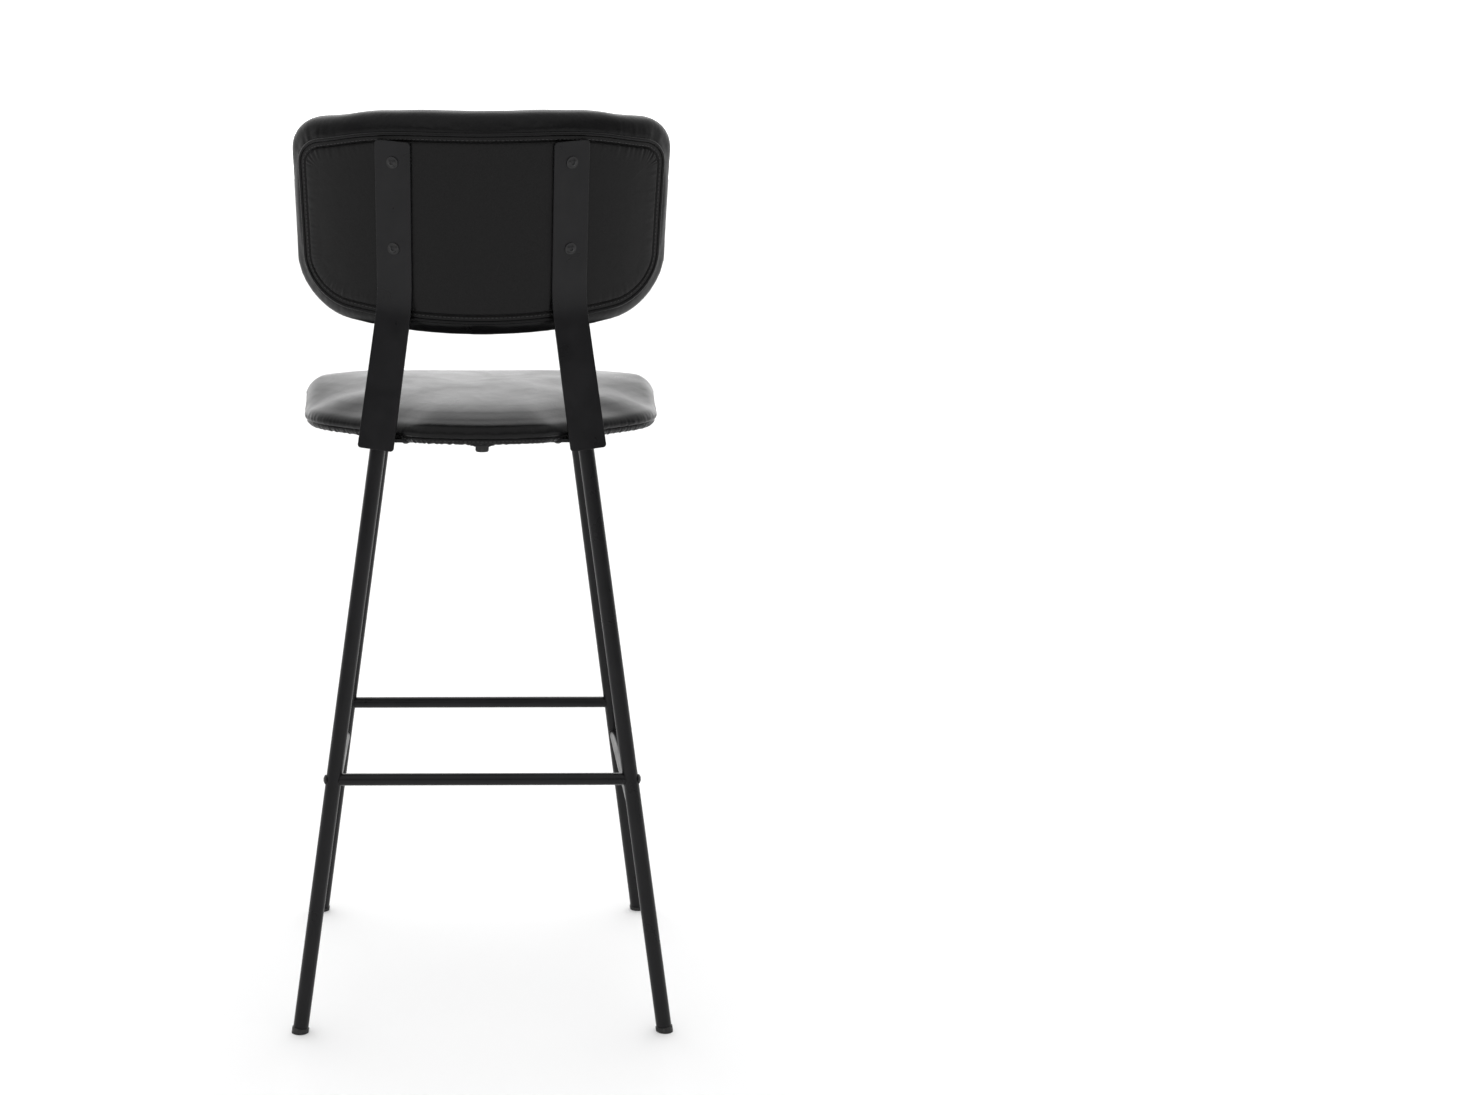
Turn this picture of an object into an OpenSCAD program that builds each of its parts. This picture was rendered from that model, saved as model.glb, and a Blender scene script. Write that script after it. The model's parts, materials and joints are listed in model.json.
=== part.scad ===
// Bar stool with footrest: four splayed tube legs joined by rails, a padded
// seat on two steel plates, and a curved padded backrest on two flat brackets.
// Millimetres. +Z is up, -Y is the front, and the origin is on the floor in
// the middle of the four feet.

/* [Legs] */
// Outside diameter of a leg tube
leg_d = 19; // [16:1:25]
// Wall of a leg tube
leg_wall = 1.5; // [1:0.1:2.5]
// Height of the leg tops, which is the underside of the seat plates
leg_top_z = 725; // [560:1:900]
// Half the distance between the leg axes at the top, side to side
leg_top_x = 124.8; // [100:0.1:160]
// Half the distance between the leg axes at the top, front to back
leg_top_y = 138.3; // [110:0.1:170]
// Half the distance between the leg axes at the floor, side to side
leg_foot_x = 225.3; // [180:0.1:280]
// Half the distance between the leg axes at the floor, front to back
leg_foot_y = 215; // [180:1:270]

/* [Feet] */
// Diameter of the rim of a foot plug
foot_rim_d = 21; // [18:0.5:30]
// Height of the rim above the floor, on the leg's axis
foot_rim_h = 6; // [5:0.5:12]
// Length of the plug's stem inside the tube
foot_stem_l = 18; // [10:1:30]

/* [Rails] */
// Outside diameter of a rail tube
rail_d = 15; // [12:1:18]
// Wall of a rail tube
rail_wall = 1.5; // [1:0.1:2]
// Height of the footrest and of the rear rail
footrest_z = 314; // [240:1:400]
// Drop of the two side rails below the footrest
side_rail_drop = 46; // [35:1:80]

/* [Rail bolts] */
// Thread diameter of the bolts that hold the footrest and the rear rail
rail_bolt_d = 6; // [5:1:8]
// Diameter of a button head
rail_head_d = 12; // [10:0.5:14]
// Height of a button head
rail_head_h = 2.2; // [1.8:0.1:4]
// Length of the threaded plug inside a rail's end
insert_l = 20; // [15:1:30]
// Length of thread in the plug
thread_l = 14; // [10:1:18]

/* [Seat plates] */
// Thickness of the two plates under the seat
plate_t = 4; // [3:0.5:6]
// Front-to-back width of a plate's cross bar
plate_w = 25; // [20:1:40]
// Width of the tongue that reaches towards the seat's edge
tongue_w = 30; // [24:1:40]
// Distance from the cross bar's outer edge to the tongue's tip
tongue_l = 29; // [24:1:40]

/* [Seat] */
// Width of the seat halfway along
seat_w = 454; // [380:1:520]
// Widest part of the seat, near its front edge
seat_front_w = 458; // [360:1:520]
// Distance from the origin to the front edge
seat_front = 212; // [180:1:250]
// Distance from the origin to the middle of the rear edge
seat_rear = 184; // [176:1:230]
// Height of the upright band around the seat
seat_band_h = 21; // [16:1:30]
// Height of the seat's crown above its bottom edge, at the rear
seat_rear_h = 41; // [36:1:60]
// Height of the seat's crown above its bottom edge, at the front
seat_front_h = 56; // [36:1:70]
// Thickness of the leather or leathercloth covers
cover_t = 1.2; // [0.8:0.1:2]
// Thickness of the plywood seat board
seat_board_t = 12; // [9:1:18]
// Padding between the board's edge and the cover
seat_edge_pad = 6; // [4:0.5:12]
// Width of the padded roll that hangs below the board's edge
seat_roll_w = 8; // [6:0.5:14]
// Thickness of the lining under the board
lining_t = 0.8; // [0.5:0.1:1.5]

/* [Seat fasteners] */
// Thread diameter of the four seat screws
seat_screw_d = 6; // [5:1:8]
// Distance of a seat screw from the stool's middle, side to side
seat_screw_x = 92; // [60:1:100]
// Thread diameter of the two hex bolts in the tongues
hex_bolt_d = 10; // [8:1:12]
// Width across the flats of a hex bolt's head
hex_flats = 16; // [13:0.5:19]
// Height of a hex bolt's head
hex_head_h = 6.4; // [5:0.1:8]
// Distance from the tongue's tip to the hex bolt
hex_inset = 13; // [11:0.5:16]

/* [Backrest] */
// Width of the backrest, straight across
back_w = 462; // [380:1:540]
// Height of the backrest along its slope, in the middle
back_h = 271; // [220:1:330]
// Height of the backrest's bottom edge above the seat's bottom edge
back_rise = 122; // [100:1:170]
// Thickness of the padded backrest
back_t = 40; // [30:1:55]
// Lean of the backrest from upright
back_lean = 14.5; // [8:0.5:20]
// Radius of the backrest's curve, at its rear face
back_r = 315; // [260:1:500]
// Droop of the top edge towards the corners
back_droop = 22; // [5:1:30]
// Corner radius at the top
back_top_r = 50; // [20:1:60]
// Corner radius at the bottom
back_bottom_r = 74; // [40:1:100]
// Thickness of the curved plywood inside the backrest
back_board_t = 9; // [6:1:12]
// Distance that the plywood reaches past the rear panel's edge
back_board_reach = 2; // [0:0.5:8]
// Thickness of the covered panel on the rear face
panel_t = 3; // [2:0.5:5]
// Distance from the backrest's outline in to the rear panel's edge
panel_inset = 22; // [16:1:35]
// Diameter of the piping around the rear panel
piping_d = 4; // [3:0.5:6]

/* [Brackets] */
// Width of a bracket's flat bar
bracket_w = 44; // [30:1:50]
// Thickness of the flat bar
bracket_t = 4; // [3:0.5:6]
// Length of bar below the leg's top, along the leg
bracket_lap = 8; // [6:1:30]
// Height of the bend above the leg's top
bend_rise = 168; // [140:1:220]
// Length of bar above the bend
bracket_upper_l = 196; // [150:1:230]
// Bearing of the bar's face at its bottom end, turned outwards from the rear
bracket_foot_turn = 6; // [0:1:12]
// Length of bar on each side of the bend that the curve takes up
bend_reach = 24; // [10:1:40]
// Corner radius of the bar's two ends
bracket_corner_r = 4; // [2:0.5:10]
// Edge rounding of the flat bar
bracket_edge_r = 0.8; // [0.4:0.1:1.4]

/* [Backrest screws] */
// Thread diameter of the four screws through the brackets
back_screw_d = 6; // [5:1:8]
// Diameter of the flange under a screw's head
back_flange_d = 14; // [12:0.5:18]
// Diameter of a screw's domed head
back_head_d = 10.5; // [9:0.5:13]
// Distance from the bend up to the lower screw
back_screw_first = 67; // [50:1:90]
// Distance between the two screws of a bracket
back_screw_pitch = 104; // [60:1:115]

/* [Fits] */
// Room around a plug's stem in its tube, per side
stem_gap = 0.1; // [0.05:0.05:0.3]
// Room around a bolt in a plain hole, per side
hole_gap = 0.3; // [0.2:0.1:1]
// Room between a padded part and the metal beside it
pad_gap = 0.4; // [0.2:0.1:2]

/* [Hidden] */

LEFT = 1;
RIGHT = -1;
REAR = 1;
FRONT = -1;
$fn = 48;
FAR = 2000;

// Heights that follow from the leg tops
board_z = leg_top_z + plate_t + lining_t;
rail_z = [footrest_z, footrest_z - side_rail_drop];

// The seat plates' outlines
plate_edge_y = leg_top_y + leg_d / 2 - 1.5;
plate_half_l = leg_top_x + leg_d / 2 + 2;
tongue_tip_y = plate_edge_y + tongue_l;
hex_y = tongue_tip_y - hex_inset;
seat_screw_y = plate_edge_y - plate_w / 2;

// Seat fasteners
seat_head_h = 3.3;
seat_head_d = 12;
nut_flange_t = 1.6;
washer_t = 2;
washer_d = 21;

// How far a leg runs inwards from the floor to its top, and the direction it points in
leg_run = [leg_foot_x - leg_top_x, leg_foot_y - leg_top_y];
leg_up = unit([-leg_run.x / leg_top_z, -leg_run.y / leg_top_z, 1]);

// The bend of the left bracket, and where the backrest's frame has to be so
// that the straight upper part of the bar lies against its rear face
bend_z = leg_top_z + bend_rise;
bend_axis = leg_point(LEFT, REAR, bend_z);
bar_r = back_r + bracket_t / 2;
bend_turn_guess = asin(bend_axis.x / bar_r);
bend_x = bend_axis.x + (leg_d + bracket_t) / 2 * sin((bend_turn_guess + bracket_foot_turn) / 2);
bend_y = bend_axis.y + (leg_d + bracket_t) / 2;
bend = [bend_x, bend_y, bend_z];
back_turn = asin(bend_x / bar_r);
back_up = [0, sin(back_lean), cos(back_lean)];
back_depth = [0, cos(back_lean), -sin(back_lean)];
// Middle of the backrest's rear face, level with the bend along the slope
back_origin = bend - [bend_x, 0, 0] + back_depth * (back_r - bar_r * cos(back_turn));
// Height along the slope of the backrest's bottom edge
back_low = (leg_top_z + back_rise - back_origin.z) / cos(back_lean);
back_high = back_low + back_h;
// Radius of the pad's middle, and how far round it each rounded wing reaches
back_mid_r = back_r - back_t / 2;
wing_angle = asin((back_w - back_t) / 2 / back_mid_r) + atan(back_t / 2 / back_mid_r);

// Bend line, frames and lengths of the bracket's bar
bar_start = bend - leg_up * ((bend_z - leg_top_z) / leg_up.z + bracket_lap);
bar_lower_l = norm(bend - bar_start);
BAR_STEPS = 24;
BEND_STEPS = 10;
END_STEPS = 4;
EDGE_STEPS = 3;

back_screw_heights = [back_screw_first, back_screw_first + back_screw_pitch];
back_nut_l = back_board_t - 1;

function unit(v) = v / norm(v);
function mix(a, b, t) = a + (b - a) * t;

// Point on a leg's axis at height z
function leg_point(side, end, z) = [
    side * mix(leg_foot_x, leg_top_x, z / leg_top_z),
    end * mix(leg_foot_y, leg_top_y, z / leg_top_z),
    z
];

// ---------------------------------------------------------------- helpers

// Stands the children's Z axis along the line from a to b
module along(a, b) {
    d = b - a;
    translate(a)
        rotate([0, acos(d.z / norm(d)), atan2(d.y, d.x)])
            rotate([0, 0, 45])
                children();
}

// The children in the backrest's own frame: X across, Y out of the rear face, Z up the slope
module on_back() {
    translate(back_origin)
        rotate([-back_lean, 0, 0])
            children();
}

// The children where a screw goes through a bracket, Z out of the rear face
module at_back_screws(side) {
    for (h = back_screw_heights)
        on_back()
            translate([0, -back_r, h])
                rotate([0, 0, -side * back_turn])
                    rotate([-90, 0, 0])
                        translate([0, 0, back_r])
                            children();
}

// Round bar from one leg's axis to another's, ended on the legs' own surfaces
module between_legs(a_side, a_end, b_side, b_end, z) {
    difference() {
        along(leg_point(a_side, a_end, z), leg_point(b_side, b_end, z))
            children();
        leg_solid(a_side, a_end);
        leg_solid(b_side, b_end);
    }
}

// ------------------------------------------------------------------- legs

// A leg's full outside, from below the floor to above the seat plates
module leg_solid(side, end) {
    foot = leg_point(side, end, 0);
    top = leg_point(side, end, leg_top_z);
    over = unit(top - foot) * 60;
    along(foot - over, top + over)
        cylinder(d = leg_d, h = norm(top - foot) + 120);
}

// A leg tube, cut level at the top and square at the bottom
module leg(side, end) {
    foot = leg_point(side, end, 0);
    top = leg_point(side, end, leg_top_z);
    l = norm(top - foot);
    difference() {
        along(foot, top)
            translate([0, 0, foot_rim_h])
                cylinder(d = leg_d, h = l + leg_d);
        along(foot, top)
            cylinder(d = leg_d - 2 * leg_wall, h = l + 2 * leg_d);
        translate([-FAR / 2, -FAR / 2, leg_top_z])
            cube([FAR, FAR, leg_d * 2]);
        rail_bolt_holes(side, end);
    }
}

// Plug with a stem in the tube and a rim that is cut level on the floor
module foot(side, end) {
    base = leg_point(side, end, 0);
    top = leg_point(side, end, leg_top_z);
    difference() {
        along(base, top) {
            translate([0, 0, -foot_rim_h])
                cylinder(d = foot_rim_d, h = foot_rim_h * 2);
            translate([0, 0, foot_rim_h])
                cylinder(d = leg_d - 2 * leg_wall - 2 * stem_gap, h = foot_stem_l);
        }
        translate([-FAR / 2, -FAR / 2, -leg_d * 2])
            cube([FAR, FAR, leg_d * 2]);
    }
}

// ------------------------------------------------------------------ rails

module rail(a_side, a_end, b_side, b_end, z) {
    l = norm(leg_point(a_side, a_end, z) - leg_point(b_side, b_end, z));
    between_legs(a_side, a_end, b_side, b_end, z)
        difference() {
            cylinder(d = rail_d, h = l);
            translate([0, 0, -1])
                cylinder(d = rail_d - 2 * rail_wall, h = l + 2);
        }
}

// The children at a bolted rail's end: the origin on the leg's axis, Z outwards
module at_bolted_end(side, end) {
    p = leg_point(side, end, footrest_z);
    translate(p)
        rotate([0, side * 90, 0])
            children();
}

// Clearance holes through both walls of a leg, for the rail's bolt
module rail_bolt_holes(side, end) {
    at_bolted_end(side, end)
        translate([0, 0, -leg_d])
            cylinder(d = rail_bolt_d + 2 * hole_gap, h = 2 * leg_d);
}

// Threaded plug pressed into a rail's end
module rail_thread_plug(side, end) {
    difference() {
        at_bolted_end(side, end)
            translate([0, 0, -leg_d / 2 - insert_l])
                cylinder(d = rail_d - 2 * rail_wall, h = insert_l + leg_d / 2);
        leg_solid(side, end);
        at_bolted_end(side, end)
            translate([0, 0, -leg_d / 2 - thread_l])
                cylinder(d = rail_bolt_d, h = thread_l + leg_d / 2);
    }
}

// Bolt through the leg into the threaded plug. The leg leans, so a collar that follows
// its surface carries the round head, and even its lowest edge stands out by the rim.
module rail_bolt(side, end) {
    rim = 0.2;
    collar = 2;
    under_head = leg_d / 2 + rail_head_d / 2 * leg_run.x / leg_top_z + rim;
    at_bolted_end(side, end) {
        translate([0, 0, -leg_d / 2 - thread_l + 1])
            cylinder(d = rail_bolt_d, h = leg_d / 2 + thread_l - 1 + under_head);
        translate([0, 0, under_head])
            button_head(rail_head_d, rail_head_h, rail_bolt_d * 2 / 3);
    }
    difference() {
        at_bolted_end(side, end)
            translate([0, 0, under_head - collar])
                cylinder(d = rail_head_d, h = collar);
        leg_solid(side, end);
    }
}

// Domed head with a hexagon socket, its underside on Z = 0
module button_head(d, h, socket) {
    dome_r = (d * d / 4 + h * h) / (2 * h);
    difference() {
        intersection() {
            translate([0, 0, h - dome_r])
                sphere(r = dome_r, $fn = 64);
            cylinder(d = d, h = h);
        }
        translate([0, 0, h * 0.35])
            cylinder(d = socket / cos(30), h = h, $fn = 6);
    }
}

// ------------------------------------------------------------ seat plates

// T-shaped outline, the tongue pointing to +Y
module plate_outline() {
    r = 6;
    hull()
        for (s = [LEFT, RIGHT], y = [plate_edge_y - plate_w + r, plate_edge_y - r])
            translate([s * (plate_half_l - r), y])
                circle(r = r, $fn = 32);
    hull()
        for (s = [LEFT, RIGHT], y = [plate_edge_y - plate_w + r, tongue_tip_y - r])
            translate([s * (tongue_w / 2 - r), y])
                circle(r = r, $fn = 32);
}

module seat_plate(end) {
    difference() {
        translate([0, 0, leg_top_z])
            linear_extrude(plate_t)
                scale([1, end])
                    plate_outline();
        at_seat_screws(end)
            translate([0, 0, -1])
                cylinder(d = seat_screw_d + 2 * hole_gap, h = plate_t + 2);
        at_hex_bolt(end)
            translate([0, 0, -1])
                cylinder(d = hex_bolt_d + 2 * hole_gap, h = plate_t + 2);
    }
}

// Space that the seat's soft edge leaves for the plates and for what is welded to them
module plate_space() {
    for (end = [FRONT, REAR])
        translate([0, 0, leg_top_z - 1])
            linear_extrude(plate_t + lining_t + 1)
                scale([1, end])
                    offset(delta = pad_gap)
                        plate_outline();
}

// The children on a plate's underside where the seat screws are
module at_seat_screws(end) {
    for (s = [LEFT, RIGHT])
        translate([s * seat_screw_x, end * seat_screw_y, leg_top_z])
            children();
}

// The children on a plate's underside where the hex bolt is
module at_hex_bolt(end) {
    translate([0, end * hex_y, leg_top_z])
        children();
}

// ------------------------------------------------------------------- seat

// The seat's outline: a straight front, rounded sides and a narrow rear
module seat_outline() {
    front_r = 75;
    side_r = 120;
    rear_corner_r = 46;
    rear_corner_x = 56;
    rear_middle_r = 150;
    hull() {
        for (s = [LEFT, RIGHT]) {
            translate([s * (seat_front_w / 2 - front_r), front_r - seat_front])
                circle(r = front_r, $fn = 32);
            translate([s * (seat_w / 2 - side_r), -23])
                circle(r = side_r, $fn = 36);
            translate([s * rear_corner_x, seat_rear - 10 - rear_corner_r])
                circle(r = rear_corner_r, $fn = 32);
        }
        translate([0, seat_rear - rear_middle_r])
            circle(r = rear_middle_r, $fn = 48);
    }
}

// A thin slice of the seat's form, inset from the outline
module seat_slice(inset, z) {
    translate([0, 0, z])
        linear_extrude(0.01)
            offset(delta = -inset)
                seat_outline();
}

// The whole seat pad, shrunk by a skin's thickness on all sides
module seat_form(skin) {
    top_slope = atan2(seat_front_h - seat_rear_h, seat_front + seat_rear);
    top_z = leg_top_z + (seat_front_h * seat_rear + seat_rear_h * seat_front)
        / (seat_front + seat_rear) - skin;
    hull() {
        seat_slice(skin + 4, leg_top_z + skin);
        seat_slice(skin + 1, leg_top_z + skin + 2);
        seat_slice(skin, leg_top_z + 5);
        seat_slice(skin, leg_top_z + seat_band_h);
        translate([0, 0, top_z])
            rotate([-top_slope, 0, 0]) {
                seat_slice(skin + 2, -14);
                seat_slice(skin + 9, -6.5);
                seat_slice(skin + 22, -1.5);
                seat_slice(skin + 48, 0);
            }
    }
}

// The hole in the padding's underside, up to the board
module seat_underside() {
    translate([0, 0, leg_top_z - 1])
        linear_extrude(board_z - leg_top_z + 1)
            offset(delta = -seat_roll_w)
                seat_outline();
}

module seat_board_blank() {
    translate([0, 0, board_z])
        linear_extrude(seat_board_t)
            offset(delta = -cover_t - seat_edge_pad)
                seat_outline();
}

module seat_board() {
    difference() {
        seat_board_blank();
        for (end = [FRONT, REAR]) {
            at_seat_screws(end)
                nut_hole(seat_screw_d);
            at_hex_bolt(end)
                nut_hole(hex_bolt_d);
        }
    }
}

// Hole through the board for a T-nut's barrel, above a plate
module nut_hole(d) {
    translate([0, 0, plate_t])
        cylinder(d = d + 2, h = seat_board_t + lining_t + 1);
}

module seat_foam() {
    difference() {
        seat_form(cover_t);
        seat_board_blank();
        seat_underside();
        plate_space();
        for (end = [FRONT, REAR]) {
            at_seat_screws(end)
                nut_flange_space(seat_screw_d);
            at_hex_bolt(end)
                nut_flange_space(hex_bolt_d);
        }
    }
}

// Room in the foam for a T-nut's flange and the bolt's tip
module nut_flange_space(d) {
    translate([0, 0, board_z - leg_top_z + seat_board_t])
        cylinder(d = d * 3 + 1, h = nut_flange_t + 0.5);
}

module seat_cover() {
    difference() {
        seat_form(0);
        seat_form(cover_t);
        seat_underside();
        plate_space();
    }
}

module seat_lining() {
    difference() {
        translate([0, 0, board_z - lining_t])
            linear_extrude(lining_t)
                offset(delta = -seat_roll_w - pad_gap)
                    seat_outline();
        for (end = [FRONT, REAR]) {
            at_seat_screws(end)
                translate([0, 0, 1])
                    cylinder(d = seat_screw_d + 2, h = plate_t + 2);
            at_hex_bolt(end)
                translate([0, 0, 1])
                    cylinder(d = hex_bolt_d + 2, h = plate_t + 2);
        }
    }
}

// --------------------------------------------------------- seat fasteners

module seat_screw() {
    mirror([0, 0, 1])
        button_head(seat_head_d, seat_head_h, seat_screw_d * 2 / 3);
    cylinder(d = seat_screw_d, h = plate_t + lining_t + seat_board_t - 1);
}

module hex_bolt() {
    translate([0, 0, -washer_t - hex_head_h])
        rotate([0, 0, 30])
            intersection() {
                cylinder(d = hex_flats / cos(30), h = hex_head_h, $fn = 6);
                cylinder(d1 = hex_flats * 0.92, d2 = hex_flats * 1.4, h = hex_head_h, $fn = 64);
            }
    translate([0, 0, -washer_t - 1])
        cylinder(d = hex_bolt_d, h = washer_t + plate_t + lining_t + seat_board_t);
}

module hex_washer() {
    translate([0, 0, -washer_t])
        difference() {
            cylinder(d = washer_d, h = washer_t);
            translate([0, 0, -1])
                cylinder(d = hex_bolt_d + 2 * hole_gap, h = washer_t + 2);
        }
}

// T-nut pressed into the board from above: a barrel and a round flange
module tee_nut(d) {
    difference() {
        translate([0, 0, plate_t + lining_t]) {
            cylinder(d = d + 2, h = seat_board_t);
            translate([0, 0, seat_board_t])
                cylinder(d = d * 3, h = nut_flange_t);
        }
        cylinder(d = d, h = plate_t + lining_t + seat_board_t + nut_flange_t + 1);
    }
}

// --------------------------------------------------------------- backrest

// The backrest's outline seen from the rear, inset all round
module back_outline(inset) {
    hw = back_w / 2;
    side_low = back_low + back_bottom_r;
    top_side = back_high - back_droop;
    bow = 5;
    offset(r = -inset, $fn = 64)
        hull() {
            for (s = [LEFT, RIGHT]) {
                translate([s * (hw - back_top_r), top_side - back_top_r])
                    circle(r = back_top_r, $fn = 64);
                translate([s * (hw - 3 - back_bottom_r), side_low + bow])
                    circle(r = back_bottom_r, $fn = 64);
            }
            // Shallow arcs along the top and the bottom edges
            for (i = [-8:8]) {
                t = i / 8;
                translate([t * (hw - back_top_r) - 0.05, back_high - back_droop * pow(abs(t), 3) - 0.1])
                    square(0.1);
                translate([t * (hw - back_bottom_r) - 0.05, back_low + bow * t * t])
                    square(0.1);
            }
        }
}

// Curved sheet in the backrest's frame, between two depths below its rear face,
// ended on the outline and across the curve at the wings
module back_layer(outer, inner, inset) {
    wing = wing_angle - atan(inset / back_mid_r);
    reach = back_r * 2;
    intersection() {
        translate([0, -back_r, back_low - 5])
            linear_extrude(back_h + 10)
                polygon([
                    [0, 0],
                    [reach * sin(wing), reach * cos(wing)],
                    [0, reach],
                    [-reach * sin(wing), reach * cos(wing)]
                ]);
        translate([0, -back_r, back_low - 5])
            difference() {
                cylinder(r = back_r - outer, h = back_h + 10, $fn = 180);
                translate([0, 0, -1])
                    cylinder(r = back_r - inner, h = back_h + 12, $fn = 180);
            }
        translate([0, 1, 0])
            rotate([90, 0, 0])
                linear_extrude(back_r)
                    back_outline(inset);
    }
}

module back_board_blank() {
    back_layer(panel_t, panel_t + back_board_t, panel_inset - back_board_reach);
}

module back_board() {
    difference() {
        on_back()
            back_board_blank();
        for (s = [LEFT, RIGHT])
            at_back_screws(s)
                translate([0, 0, -panel_t - back_board_t]) {
                    translate([0, 0, -1])
                        cylinder(d = back_screw_d * 3, h = 1);
                    translate([0, 0, -2])
                        cylinder(d = back_screw_d + 2, h = back_board_t + panel_t + 4);
                }
    }
}

module back_foam() {
    difference() {
        on_back()
            difference() {
                back_layer(cover_t, back_t - cover_t, cover_t);
                back_board_blank();
                back_panel_window();
            }
        for (s = [LEFT, RIGHT])
            at_back_screws(s)
                translate([0, 0, -panel_t - back_board_t - nut_flange_t - 0.5])
                    cylinder(d = back_screw_d * 3 + 1, h = nut_flange_t + 1.5);
    }
}

// The opening in the rear of the cover and the foam that the panel fills
module back_panel_window() {
    back_layer(-1, panel_t, panel_inset);
}

module back_cover() {
    on_back()
        difference() {
            back_layer(0, back_t, 0);
            back_layer(cover_t, back_t - cover_t, cover_t);
            back_panel_window();
        }
}

module back_rear_panel() {
    difference() {
        on_back()
            back_layer(0, panel_t, panel_inset + piping_d / 2);
        for (s = [LEFT, RIGHT])
            at_back_screws(s)
                translate([0, 0, -panel_t - 1])
                    cylinder(d = back_screw_d + 2 * hole_gap, h = panel_t + 3);
    }
}

// Bead in the groove between the rear panel and the cover
module back_piping() {
    on_back()
        difference() {
            back_layer(0, panel_t, panel_inset);
            back_layer(-1, panel_t + 1, panel_inset + piping_d / 2);
        }
}

// --------------------------------------------------------------- brackets

// Width of the bar at distance s from its bottom end: the ends have round corners
function bar_half_w(s, l) =
    let (e = min(s, l - s), r = bracket_corner_r)
    bracket_w / 2 - (e >= r ? 0 : r - sqrt(max(0, r * r - (r - e) * (r - e))));

// Distances along the bar at which a cross-section stands
function bar_stations(l) = concat(
    [for (i = [0:END_STEPS]) bracket_corner_r * (1 - cos(90 * i / END_STEPS))],
    [for (i = [1:BAR_STEPS - 1])
        mix(bracket_corner_r, l - bracket_corner_r, i / BAR_STEPS)],
    [for (i = [0:END_STEPS]) l - bracket_corner_r * (1 - sin(90 * i / END_STEPS))]
);

// Centre of the bar at distance s: straight, a parabolic bend, straight
function bar_point(s) =
    let (a = bar_lower_l - bend_reach, b = bar_lower_l + bend_reach)
    s <= a ? bar_start + leg_up * s
    : s >= b ? bend + back_up * (s - bar_lower_l)
    : let (t = (s - a) / (b - a))
        (bend - leg_up * bend_reach) * pow(1 - t, 2) + bend * 2 * t * (1 - t)
        + (bend + back_up * bend_reach) * pow(t, 2);

// Direction of the bar at distance s
function bar_direction(s) =
    let (t = (s - bar_lower_l + bend_reach) / (2 * bend_reach))
    unit(mix(leg_up, back_up, min(1, max(0, t))));

// Direction across the bar: it turns steadily from the foot up to the bend
function bar_across(s) =
    let (
        t = min(1, s / bar_lower_l),
        turn = mix(bracket_foot_turn, back_turn, t),
        upper = [cos(back_turn), 0, 0] - back_depth * sin(back_turn),
        lower = [cos(turn), -sin(turn), 0],
        d = bar_direction(s),
        raw = mix(lower, upper, t * t)
    )
    unit(raw - d * (raw * d));

// The bar's cross-section at distance s, a rectangle with rounded edges
function bar_section(s, l) =
    let (
        p = bar_point(s),
        w = bar_across(s),
        n = cross(bar_direction(s), w),
        hw = bar_half_w(s, l) - bracket_edge_r,
        ht = bracket_t / 2 - bracket_edge_r
    )
    [for (q = [0:3], i = [0:EDGE_STEPS - 1])
        let (a = 90 * (q + i / (EDGE_STEPS - 1)))
        p + w * ((q == 0 || q == 3 ? hw : -hw) + bracket_edge_r * cos(a))
          + n * ((q < 2 ? ht : -ht) + bracket_edge_r * sin(a))];

// The left bar as one closed skin over all its cross-sections
module bar() {
    l = bar_lower_l + bracket_upper_l;
    sections = [for (s = bar_stations(l)) bar_section(s, l)];
    n = len(sections[0]);
    m = len(sections);
    polyhedron(
        points = [for (ring = sections, p = ring) p],
        faces = concat(
            [[for (i = [0:n - 1]) i]],
            [for (j = [0:m - 2], i = [0:n - 1])
                [j * n + i, (j + 1) * n + i, (j + 1) * n + (i + 1) % n]],
            [for (j = [0:m - 2], i = [0:n - 1])
                [j * n + i, (j + 1) * n + (i + 1) % n, j * n + (i + 1) % n]],
            [[for (i = [n - 1:-1:0]) (m - 1) * n + i]]
        )
    );
}

module back_bracket(side) {
    difference() {
        mirror([side == RIGHT ? 1 : 0, 0, 0])
            bar();
        at_back_screws(side)
            translate([0, 0, -1])
                cylinder(d = back_screw_d + 2 * hole_gap, h = bracket_t + 2);
    }
}

// Flanged button-head screw through a bracket into the board
module back_screw() {
    flange_t = 1.2;
    translate([0, 0, bracket_t]) {
        cylinder(d = back_flange_d, h = flange_t);
        translate([0, 0, flange_t])
            button_head(back_head_d, 2.4, back_screw_d * 2 / 3);
    }
    translate([0, 0, -panel_t - back_board_t])
        cylinder(d = back_screw_d, h = panel_t + back_board_t + bracket_t);
}

// T-nut in the backrest's board, its flange on the foam side
module back_screw_nut() {
    difference() {
        union() {
            translate([0, 0, -panel_t - back_board_t])
                cylinder(d = back_screw_d + 2, h = back_nut_l);
            translate([0, 0, -panel_t - back_board_t - nut_flange_t])
                cylinder(d = back_screw_d * 3, h = nut_flange_t);
        }
        translate([0, 0, -panel_t - back_board_t - nut_flange_t - 1])
            cylinder(d = back_screw_d, h = panel_t + back_board_t + 4);
    }
}

// ------------------------------------------------------------------ nodes

STEEL = [0.07, 0.07, 0.075];
ZINC = [0.65, 0.66, 0.68];
LEATHER = [0.09, 0.09, 0.095];
PLY = [0.72, 0.56, 0.38];
FOAM = [0.85, 0.80, 0.62];
PLASTIC = [0.05, 0.05, 0.05];

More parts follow.
